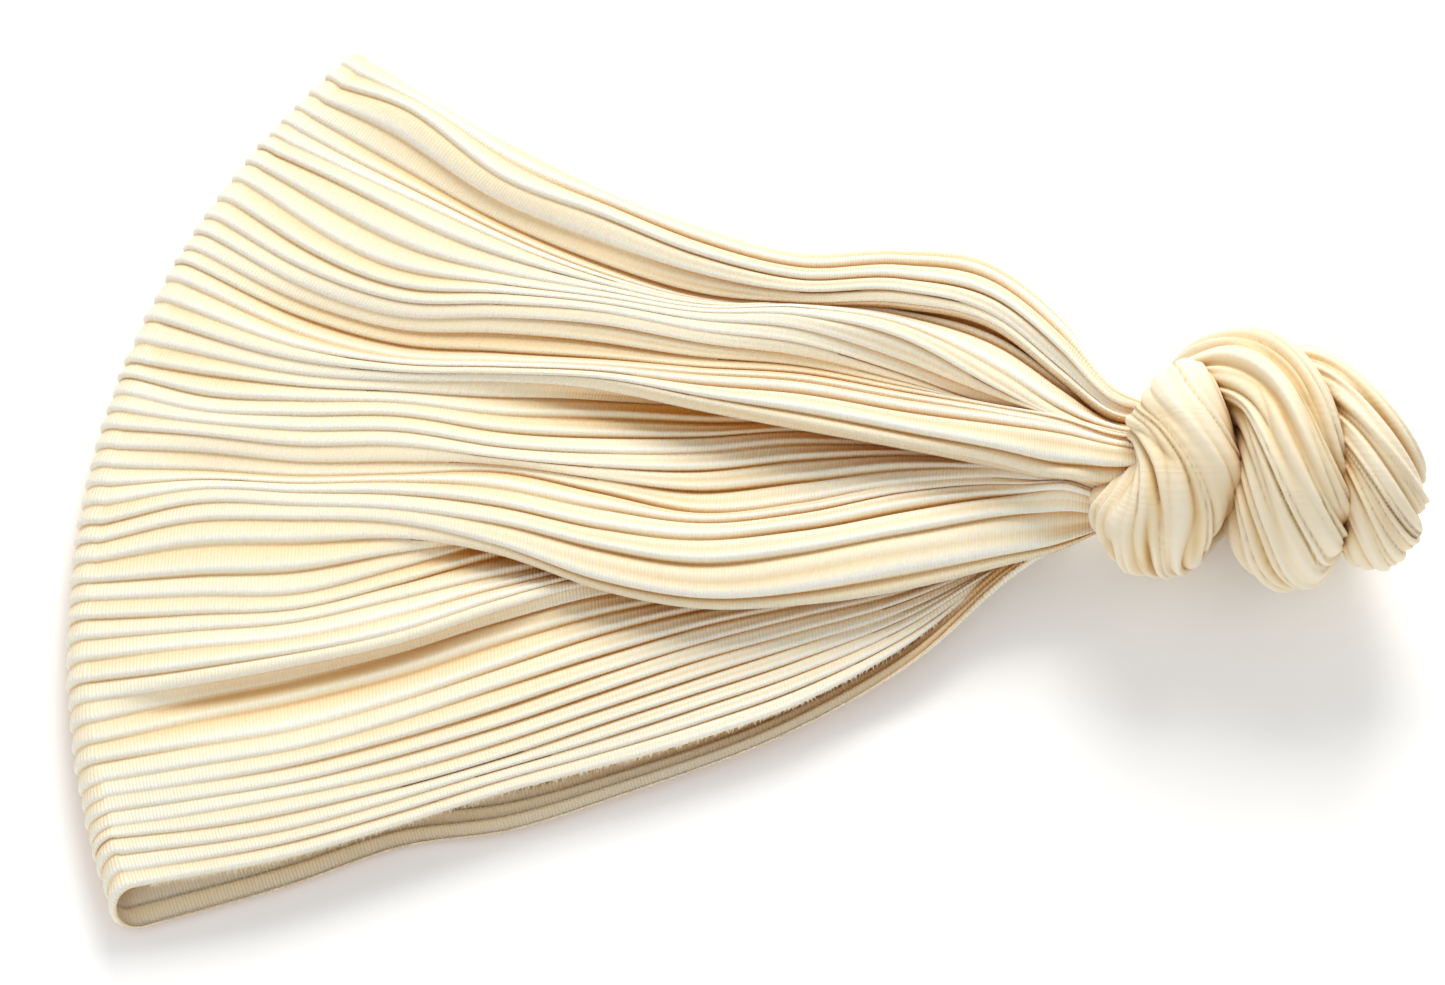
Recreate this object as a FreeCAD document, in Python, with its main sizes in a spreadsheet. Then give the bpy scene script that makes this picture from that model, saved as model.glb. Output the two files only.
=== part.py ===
"""Knotted headband of pleated satin, laid flat: a wide pleated band folded in half at the nape,
both ends gathered at a neck and twisted round each other into a rope-like knot.

Millimetres. +X runs from the nape fold to the tip of the knot, +Z is up from the table.
The origin is at the middle of the headband's outline, on the table. Cloth is drawn as plain
closed solids with the outer size of the pleated cloth; thread is drawn as pieces of its own.
"""

import math
import os

import FreeCAD
import Part
import Sketcher

DOC = FreeCAD.newDocument("knotted_headband")
SHEET = DOC.addObject("Spreadsheet::Sheet", "dims")
V = FreeCAD.Vector

# Driving dimensions. Lengths in millimetres, angles in degrees.
DIMENSIONS = {
    # the flattened loop
    "cloth_depth": 3.0,  # thickness of the pleated cloth, crest to crest
    "loop_gap": 6.0,  # clear height between the front and the back layer
    "edge_gap": 0.4,  # between two stretches of cloth that move apart
    # the nape fold, an arc seen from above
    "fan_radius": 159.0,
    "fan_x": 36.0,
    "fan_y": -30.3,
    "fan_start": 133.0,
    "fan_end": 200.5,
    "fold_depth": 8.0,  # how far the fold reaches in from its outer edge
    # the outline of the two layers, from the fold to the hump before the neck
    "upper_edge_radius": 230.0,
    "lower_edge_radius": 420.0,
    "waist_x": 14.0,
    "waist_top": 42.0,
    "hump_x": 44.0,
    "hump_top": 40.0,
    "hump_bottom": -20.0,
    # heights: the front layer bunches up towards the neck, and the back layer lifts off the table
    "bunch_start": -82.0,
    "bunch_depth": 12.0,
    "lift_start": 14.0,
    "lift_height": 6.0,
    # the gathered neck: two oval sections, then a bound waist
    "shoulder_x": 54.0,
    "shoulder_width": 22.0,
    "shoulder_height": 18.0,
    "waist_start": 56.6,
    "waist_length": 3.6,
    "waist_radius": 4.2,
    # the knot: two strands, one round the other
    "strand_reach": 10.6,  # half of a strand's size across the knot
    "strand_half_width": 8.9,  # half of a strand's size along the knot
    "strand_gap": 0.3,
    "knot_y": -2.0,
    "knot_start": 62.0,
    "knot_length": 61.0,
    "nose_depth": 9.0,  # of the rounded end at the neck
    "tip_depth": 15.0,  # of the rounded end at the tip
    "first_lobe": 12.0,  # from the knot's start to the middle of the lobe on top
    # thread
    "thread_radius": 0.5,
    "thread_gap": 0.05,  # between the cloth and the thread that goes round it
    "binding_turns": 3,
    "binding_spacing": 1.05,
    "tack_count": 4,
    "tack_length": 14.0,
    "tack_margin": 6.4,  # between the last tack stitch and the first closing stitch
    "closing_count": 3,
    "closing_spacing": 3.0,
    "closing_length": 9.0,
}

ROUND_TO_OVAL = 1.01  # an ellipse can't be quite round, so the waist is this much wider than high

# Sizes that several sub-parts share, each worked out from the sheet.
FOLD_HEIGHT = "(2 * dims.cloth_depth + dims.loop_gap)"
FRONT_BOTTOM = "(dims.cloth_depth + dims.loop_gap)"
HUMP_BOTTOM = f"({FRONT_BOTTOM} + dims.lift_height)"
PANEL_RADIUS = "(dims.fan_radius - dims.fold_depth - dims.edge_gap)"
STRAND_RADIUS = "(dims.strand_reach + dims.strand_gap)"  # of the helix that a strand follows
KNOT_RADIUS = "(2 * dims.strand_reach + dims.strand_gap)"
KNOT_PITCH = "(4 * (dims.strand_half_width + dims.strand_gap))"
CLOSING_END = "(dims.knot_start + dims.knot_length - dims.tip_depth + 2 * dims.closing_spacing)"
CLOSING_START = f"({CLOSING_END} - (dims.closing_count - 1) * dims.closing_spacing)"


def fill_sheet():
    """One row for each driving dimension: its name, its value and its alias."""
    for row, (name, value) in enumerate(DIMENSIONS.items(), start=1):
        SHEET.set(f"A{row}", name)
        SHEET.set(f"B{row}", str(value))
        SHEET.setAlias(f"B{row}", name)
    DOC.recompute()


def size(expression):
    """The number that an expression on the sheet comes to."""
    value = SHEET.evalExpression(expression)
    return float(getattr(value, "Value", value))


def bind(item, **expressions):
    """Ties properties of an object to the sheet; two underscores stand for a dot."""
    for name, expression in expressions.items():
        item.setExpression(name.replace("__", "."), expression)
    return item


def place(item, x="0", y="0", z="0"):
    """Ties the position of an object to the sheet."""
    return bind(item, Placement__Base__x=x, Placement__Base__y=y, Placement__Base__z=z)


def turn(item, *steps):
    """Turns an object: each step is (axis, degrees), the first step applied first."""
    rotation = FreeCAD.Rotation()
    for axis, degrees in steps:
        rotation = FreeCAD.Rotation(V(*axis), degrees) * rotation
    item.Placement.Rotation = rotation
    return item


def new_body(name):
    body = DOC.addObject("PartDesign::Body", name)
    body.Label = name
    return body


def body_sketch(body, role, name):
    """A sketch on one of the body's own origin planes."""
    sketch = body.newObject("Sketcher::SketchObject", name)
    plane = next(f for f in body.Origin.OriginFeatures if f.Role == role)
    sketch.AttachmentSupport = (plane, [""])
    sketch.MapMode = "FlatFace"
    return sketch


def arc_middle(start, end, radius, bulge):
    """The point half way along a shallow arc that bulges to the right (1) or the left (-1)."""
    chord = end - start
    sagitta = radius - math.sqrt(radius**2 - (chord.Length / 2) ** 2)
    right = V(chord.y, -chord.x, 0).normalize()
    return (start + end) / 2 + right * sagitta * bulge


def draw_outline(sketch, corners, arcs):
    """Draws a closed outline whose corners, (x, y) as expressions, are tied to the sheet.

    arcs gives the radius, as an expression, and the bulge of each side that is an arc, by the
    number of the corner that the side starts at.
    """
    points = [V(size(x), size(y), 0) for x, y in corners]
    sides = []
    for i, start in enumerate(points):
        end = points[(i + 1) % len(points)]
        if i in arcs:
            radius, bulge = arcs[i]
            edge = Part.Arc(start, arc_middle(start, end, size(radius), bulge), end)
        else:
            edge = Part.LineSegment(start, end)
        sides.append(sketch.addGeometry(edge))

    def end_at(side, point):
        """Which end of a side lies at a point: 1 is its start and 2 is its end."""
        return 1 if sketch.getPoint(side, 1).distanceToPoint(point) < 1e-6 else 2

    def tie(name, constraint, expression):
        index = sketch.addConstraint(constraint)
        sketch.renameConstraint(index, name)
        sketch.setExpression(f"Constraints.{name}", expression)

    for i, side in enumerate(sides):
        after = (i + 1) % len(sides)
        first = end_at(side, points[i])
        meeting = (side, end_at(side, points[after]), sides[after], end_at(sides[after], points[after]))
        sketch.addConstraint(Sketcher.Constraint("Coincident", *meeting))
        across = Sketcher.Constraint("DistanceX", -1, 1, side, first, points[i].x)
        upward = Sketcher.Constraint("DistanceY", -1, 1, side, first, points[i].y)
        tie(f"corner{i}_across", across, corners[i][0])
        tie(f"corner{i}_upward", upward, corners[i][1])
        if i in arcs:
            tie(f"radius{i}", Sketcher.Constraint("Radius", side, size(arcs[i][0])), arcs[i][0])


# The nape fold ------------------------------------------------------------------------------------
def nape_fold():
    """The folded end of the loop: a C-shaped section turned through the fan's angle."""
    body = new_body("nape_fold")
    sketch = body_sketch(body, "XZ_Plane", "fold_section")
    outer = f"({FOLD_HEIGHT} / 2)"
    inner = "(dims.loop_gap / 2)"
    lip = "(dims.fan_radius - dims.fold_depth)"
    bend = f"(dims.fan_radius - {outer})"
    corners = [
        (lip, "0"),
        (bend, "0"),
        ("dims.fan_radius", outer),
        (bend, FOLD_HEIGHT),
        (lip, FOLD_HEIGHT),
        (lip, FRONT_BOTTOM),
        (bend, FRONT_BOTTOM),
        (f"{bend} + {inner}", outer),
        (bend, "dims.cloth_depth"),
        (lip, "dims.cloth_depth"),
    ]
    draw_outline(sketch, corners, {1: (outer, 1), 2: (outer, 1), 6: (inner, -1), 7: (inner, -1)})
    turned = body.newObject("PartDesign::Revolution", "fold_turned")
    turned.Profile = sketch
    turned.ReferenceAxis = (sketch, ["V_Axis"])
    bind(turned, Angle="(dims.fan_end - dims.fan_start) * 1deg")
    place(body, "dims.fan_x", "dims.fan_y")
    bind(body, Placement__Rotation__Angle="dims.fan_start * 1deg")
    return body


# The two layers: an outline seen from above, met by a side view -----------------------------------
def fan_point(angle):
    """A point on the layers' curved end, as two expressions."""
    return f"dims.fan_x + {PANEL_RADIUS} * cos({angle})", f"dims.fan_y + {PANEL_RADIUS} * sin({angle})"


def layer(name, side_view):
    """The solid that an upright block on the band's outline shares with a side view drawn through it."""
    plan_body = new_body(f"{name}_plan")
    plan = body_sketch(plan_body, "XY_Plane", f"{name}_outline")
    corners = [
        fan_point("dims.fan_start * 1deg"),
        fan_point("dims.fan_end * 1deg"),
        ("dims.hump_x", "dims.hump_bottom"),
        ("dims.hump_x", "dims.hump_top"),
        ("dims.waist_x", "dims.waist_top"),
    ]
    edges = {0: (PANEL_RADIUS, 1), 1: ("dims.lower_edge_radius", 1), 4: ("dims.upper_edge_radius", -1)}
    draw_outline(plan, corners, edges)
    block = plan_body.newObject("PartDesign::Pad", f"{name}_block")
    block.Profile = plan
    bind(block, Length=f"4 * {KNOT_RADIUS}")
    side_body = new_body(f"{name}_side")
    side = body_sketch(side_body, "XZ_Plane", f"{name}_side_view")
    draw_outline(side, side_view, {})
    slab = side_body.newObject("PartDesign::Pad", f"{name}_slab")
    slab.Profile = side
    slab.Midplane = True
    bind(slab, Length="4 * dims.fan_radius")
    cloth = DOC.addObject("Part::Common", name)
    cloth.Base = plan_body
    cloth.Tool = side_body
    cloth.Label = name
    return cloth


def back_layer():
    """The layer that lies on the table, rising a little towards the neck."""
    far = "(dims.fan_x - dims.fan_radius)"
    side_view = [
        (far, "0"),
        ("dims.lift_start", "0"),
        ("dims.hump_x", "dims.lift_height"),
        ("dims.hump_x", "dims.lift_height + dims.cloth_depth"),
        ("dims.lift_start", "dims.cloth_depth"),
        (far, "dims.cloth_depth"),
    ]
    return layer("back_layer_panel", side_view)


def front_layer():
    """The upper layer: one cloth depth at the nape, and deeper where its folds bunch up."""
    far = "(dims.fan_x - dims.fan_radius)"
    side_view = [
        (far, FRONT_BOTTOM),
        ("dims.lift_start", FRONT_BOTTOM),
        ("dims.hump_x", HUMP_BOTTOM),
        ("dims.hump_x", f"{HUMP_BOTTOM} + dims.bunch_depth"),
        ("dims.bunch_start", FOLD_HEIGHT),
        (far, FOLD_HEIGHT),
    ]
    return layer("front_layer_panel", side_view)


# The gathered neck --------------------------------------------------------------------------------
def oval(name, x, y, z, width, height):
    """An upright oval outline across the band's length, wider than it is high."""
    section = DOC.addObject("Part::Ellipse", name)
    bind(section, MajorRadius=f"{width} / 2", MinorRadius=f"{height} / 2")
    turn(section, ((0, 0, 1), 90), ((0, 1, 0), 90))
    return place(section, x, y, z)


def gathered_neck():
    """Both layers drawn in to a bundle that ends in a narrow waist, where the thread binds it."""
    width = "(dims.hump_top - dims.hump_bottom)"
    middle = "(dims.hump_top + dims.hump_bottom) / 2"
    bunch_middle = f"{HUMP_BOTTOM} + dims.bunch_depth / 2"
    high = "2 * dims.waist_radius"
    wide = f"{high} * {ROUND_TO_OVAL}"
    waist_end = "dims.waist_start + dims.waist_length"
    gathers = DOC.addObject("Part::Loft", "neck_gathers")
    gathers.Sections = [
        oval("neck_hump", "dims.hump_x + dims.edge_gap", middle, bunch_middle, width, "dims.bunch_depth"),
        oval("neck_shoulder", "dims.shoulder_x", "dims.knot_y", KNOT_RADIUS,
             "dims.shoulder_width", "dims.shoulder_height"),
        oval("neck_throat", "dims.waist_start", "dims.knot_y", KNOT_RADIUS, wide, high),
        oval("neck_end", waist_end, "dims.knot_y", KNOT_RADIUS, wide, high),
    ]
    gathers.Solid = True
    gathers.Ruled = True
    gathers.Label = "gathered_neck"
    return gathers


# The knot -----------------------------------------------------------------------------------------
def knot_envelope(name):
    """The room that the knot fills: a cylinder along the knot's axis with a rounded end each way."""
    room = f"({KNOT_RADIUS} + 2 * dims.strand_gap)"
    tip_x = "dims.knot_start + dims.knot_length - dims.tip_depth"
    nose_x = "dims.knot_start + dims.nose_depth"
    barrel = DOC.addObject("Part::Cylinder", f"{name}_barrel")
    bind(barrel, Radius=room, Height="dims.knot_length - dims.nose_depth - dims.tip_depth")
    place(turn(barrel, ((0, 1, 0), 90)), nose_x, "dims.knot_y", KNOT_RADIUS)
    ends = []
    for end, x, depth in (("nose", nose_x, "dims.nose_depth"), ("tip", tip_x, "dims.tip_depth")):
        dome = DOC.addObject("Part::Ellipsoid", f"{name}_{end}")
        bind(dome, Radius1=depth, Radius2=room, Radius3=room)
        ends.append(place(turn(dome, ((0, 1, 0), 90)), x, "dims.knot_y", KNOT_RADIUS))
    whole = DOC.addObject("Part::MultiFuse", f"{name}_room")
    whole.Shapes = [barrel, *ends]
    return whole


def strand(name, behind):
    """One gathered strand: an oval section swept along a helix, kept to the knot's room.

    The first lobe of the strand with behind 0 is on top; behind 180 is half a turn later.
    """
    helix = DOC.addObject("Part::Helix", f"{name}_path")
    bind(helix, Pitch=KNOT_PITCH, Height=f"dims.knot_length + 2 * {KNOT_PITCH}", Radius=STRAND_RADIUS)
    section = DOC.addObject("Part::Ellipse", f"{name}_section")
    bind(section, MajorRadius="dims.strand_reach", MinorRadius="dims.strand_half_width")
    place(turn(section, ((1, 0, 0), 90)), STRAND_RADIUS)
    swept = DOC.addObject("Part::Sweep", f"{name}_swept")
    swept.Sections = [section]
    swept.Spine = (helix, [])
    swept.Solid = True
    swept.Frenet = True
    # The helix starts one turn before the knot. Laid along X, it passes over the top at 180 degrees.
    lead = size(f"180 - 360 * dims.first_lobe / {KNOT_PITCH} + {behind}")
    turn(swept, ((0, 0, 1), lead), ((0, 1, 0), 90))
    place(swept, f"dims.knot_start - {KNOT_PITCH}", "dims.knot_y", KNOT_RADIUS)
    cloth = DOC.addObject("Part::Common", name)
    cloth.Base = swept
    cloth.Tool = knot_envelope(name)
    cloth.Label = name
    return cloth


# Thread -------------------------------------------------------------------------------------------
def group(name, pieces):
    """Separate pieces of thread that share one node."""
    whole = DOC.addObject("Part::Compound", f"{name}_group")
    whole.Links = pieces
    whole.Label = name
    return whole


def binding_thread():
    """Turns of thread that hold the gathers in at the neck's waist."""
    outside = f"dims.waist_radius * {ROUND_TO_OVAL} + dims.thread_gap + dims.thread_radius"
    rings = []
    for i in range(int(size("dims.binding_turns"))):
        ring = DOC.addObject("Part::Torus", f"binding_turn{i}")
        bind(ring, Radius1=outside, Radius2="dims.thread_radius")
        x = f"dims.waist_start + dims.thread_radius + dims.thread_gap + {i} * dims.binding_spacing"
        rings.append(place(turn(ring, ((0, 1, 0), 90)), x, "dims.knot_y", KNOT_RADIUS))
    return group("neck_binding_thread", rings)


def stitches(name, first, count, spacing, length, directions):
    """Straight stitches through the knot's axis, one after another along it."""
    made = []
    for i in range(int(size(count))):
        stitch = DOC.addObject("Part::Cylinder", f"{name}{i}")
        bind(stitch, Radius="dims.thread_radius", Height=length)
        direction = V(*directions[i % len(directions)])
        stitch.Placement.Rotation = FreeCAD.Rotation(V(0, 0, 1), direction)
        offset = [f"{part:.6f} * ({length}) / 2" for part in direction.normalize()]
        place(
            stitch,
            f"{first} + {i} * {spacing} - {offset[0]}",
            f"dims.knot_y - {offset[1]}",
            f"{KNOT_RADIUS} - {offset[2]}",
        )
        made.append(stitch)
    return group(name, made)


def tack_stitches():
    """Hidden stitches through both strands, each across the plane in which the strands meet."""
    first = "(dims.knot_start + dims.first_lobe)"
    spacing = f"({CLOSING_START} - dims.tack_margin - {first}) / (dims.tack_count - 1)"
    return stitches("knot_tack_stitches", first, "dims.tack_count", spacing,
                    "dims.tack_length", [(0, 0, 1), (0, 1, 0)])


def closing_stitches():
    """Stitches at the tip that close the two tucked ends onto each other."""
    return stitches("tip_closing_stitches", CLOSING_START, "dims.closing_count",
                    "dims.closing_spacing", "dims.closing_length", [(0, 1, 1), (0, -1, 1)])


def main():
    os.makedirs("parts", exist_ok=True)
    fill_sheet()
    pieces = [
        nape_fold(),
        back_layer(),
        front_layer(),
        gathered_neck(),
        strand("knot_strand_front", 0),
        strand("knot_strand_back", 180),
        binding_thread(),
        tack_stitches(),
        closing_stitches(),
    ]
    DOC.recompute()
    for item in DOC.Objects:
        if "Invalid" in item.State or "Error" in item.State:
            raise RuntimeError(f"{item.Name} did not compute: {item.State}")
    for piece in pieces:
        shape = piece.Shape
        if shape.isNull() or not shape.isValid() or not shape.Solids:
            raise RuntimeError(f"{piece.Label} has no valid solid")
    for piece in pieces:
        piece.Shape.exportStep(f"parts/{piece.Label}.step")
        box = piece.Shape.optimalBoundingBox()
        ends = [round(v, 2) for v in (box.XMin, box.XMax, box.YMin, box.YMax, box.ZMin, box.ZMax)]
        print(piece.Label, len(piece.Shape.Solids), "solids", round(piece.Shape.Volume), "mm3", ends)


main()
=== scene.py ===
# %% [markdown]
# # A knotted headband of pleated satin
# The real object is one strip of heat-pleated polyester satin. It lies folded in half, the fold is
# the nape of the neck, and both ends are gathered and twisted round each other into a short rope.
# Everything here is cloth, so almost every piece is a fine grid whose points a few formulas move:
# modelling each pleat by hand would be slow, and a cloth simulation would blur the sharp pleats.

# %% Load the frame
import math

import bmesh
import bpy
import numpy as np
from mathutils import Matrix, Vector


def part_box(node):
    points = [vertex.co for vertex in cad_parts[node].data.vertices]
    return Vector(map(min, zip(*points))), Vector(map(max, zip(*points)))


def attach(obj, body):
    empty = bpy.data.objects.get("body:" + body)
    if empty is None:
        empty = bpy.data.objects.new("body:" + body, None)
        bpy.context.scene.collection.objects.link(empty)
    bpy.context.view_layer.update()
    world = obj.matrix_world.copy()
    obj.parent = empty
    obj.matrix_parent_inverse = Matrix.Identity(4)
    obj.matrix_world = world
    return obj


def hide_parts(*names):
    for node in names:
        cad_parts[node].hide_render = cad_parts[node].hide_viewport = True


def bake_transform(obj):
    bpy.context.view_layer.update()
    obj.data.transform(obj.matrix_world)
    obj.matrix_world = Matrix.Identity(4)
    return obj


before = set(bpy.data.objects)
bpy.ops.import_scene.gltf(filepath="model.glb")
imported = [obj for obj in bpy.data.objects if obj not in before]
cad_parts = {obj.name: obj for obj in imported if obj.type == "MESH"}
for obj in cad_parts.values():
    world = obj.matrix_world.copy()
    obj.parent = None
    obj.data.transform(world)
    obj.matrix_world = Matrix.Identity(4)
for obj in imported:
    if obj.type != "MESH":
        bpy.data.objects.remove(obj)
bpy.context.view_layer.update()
MM = 0.001


def box_mm(node):
    """The lowest and highest corner of a CAD node, in millimetres."""
    low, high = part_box(node)
    return np.array(low) / MM, np.array(high) / MM


# %% [markdown]
# ## Smooth curves and gentle unevenness
# An outline is a few points with a smooth curve through them. Cloth is never quite even either, so
# a sum of slow sine waves gives a wobble that looks random and is the same at each run.


# %% Helpers for curves and wobble
def through(points, t):
    """The smooth curve through points, each (t, value, value ...), read at every t of an array."""
    knots = np.array([p[0] for p in points], float)
    values = np.array([p[1:] for p in points], float)
    slopes = np.gradient(values, knots, axis=0)
    i = np.clip(np.searchsorted(knots, t, side="right") - 1, 0, len(knots) - 2)
    span = (knots[i + 1] - knots[i])[..., None]
    f = (t[..., None] - knots[i][..., None]) / span
    start = values[i] * (1 + 2 * f) * (1 - f) ** 2 + slopes[i] * span * f * (1 - f) ** 2
    end = values[i + 1] * f**2 * (3 - 2 * f) - slopes[i + 1] * span * f**2 * (1 - f)
    return start + end


def ramp(value, low, high):
    """0 below low, 1 above high and smooth between them."""
    f = np.clip((value - low) / (high - low), 0, 1)
    return f * f * (3 - 2 * f)


def wobble(a, b, seed, waves=7):
    """Slow waves over the plane of a and b, about 1 high and 1 long, the same each run."""
    draw = np.random.default_rng(seed)
    total = 0.0
    for _ in range(waves):
        across, along, shift = draw.uniform(-1, 1), draw.uniform(-1, 1), draw.uniform(0, math.tau)
        total = total + np.sin(math.tau * (across * a + along * b) + shift)
    return total / math.sqrt(waves)


def bump(value, middle, width):
    """A smooth hill, 1 high at the middle."""
    return np.exp(-(((value - middle) / width) ** 2))


# %% [markdown]
# ## The nape fold
# The strip turns over at the nape, along an arc, so every row of points starts from that arc. v goes
# across the band from 0 at the upper edge to 1 at the lower edge. The lower end of the front layer
# stands a little further in than the back's, where the fold opens.

# %% The fold's arc
FOLD_LOW, FOLD_HIGH = box_mm("nape_fold")
FAN_RADIUS = 159.0
FAN_CENTRE = np.array([FOLD_LOW[0] + FAN_RADIUS, -30.3])
FAN_START, FAN_TURN = 133.0, 67.5  # degrees
FOLD_OPENS = 1.8  # degrees
FOLD_MIDDLE = (FOLD_LOW[2] + FOLD_HIGH[2]) / 2
FOLD_BEND = 4.3  # radius of the cloth's middle where it turns over
ROW_RADIUS = FAN_RADIUS - 6.0  # where the flat layers start
KNOT_LOW, KNOT_HIGH = box_mm("knot_strand_front")
KNOT_AXIS = np.array([0.0, (KNOT_LOW[1] + KNOT_HIGH[1]) / 2, (KNOT_LOW[2] + KNOT_HIGH[2]) / 2])
KNOT_START = KNOT_LOW[0]


def fan(v, turn=0.0, radius=ROW_RADIUS):
    """Points in plan on the fold's arc, for a turn from 0 on the front to pi on the back."""
    opening = FOLD_OPENS * ramp(v, 0.85, 1.0) * (1 + np.cos(turn)) / 2
    angle = np.radians(FAN_START + FAN_TURN * v - opening)
    return FAN_CENTRE + radius * np.stack([np.cos(angle), np.sin(angle)], -1)


print("the fold's row is", round(ROW_RADIUS * math.radians(FAN_TURN), 1), "mm long")
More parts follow.
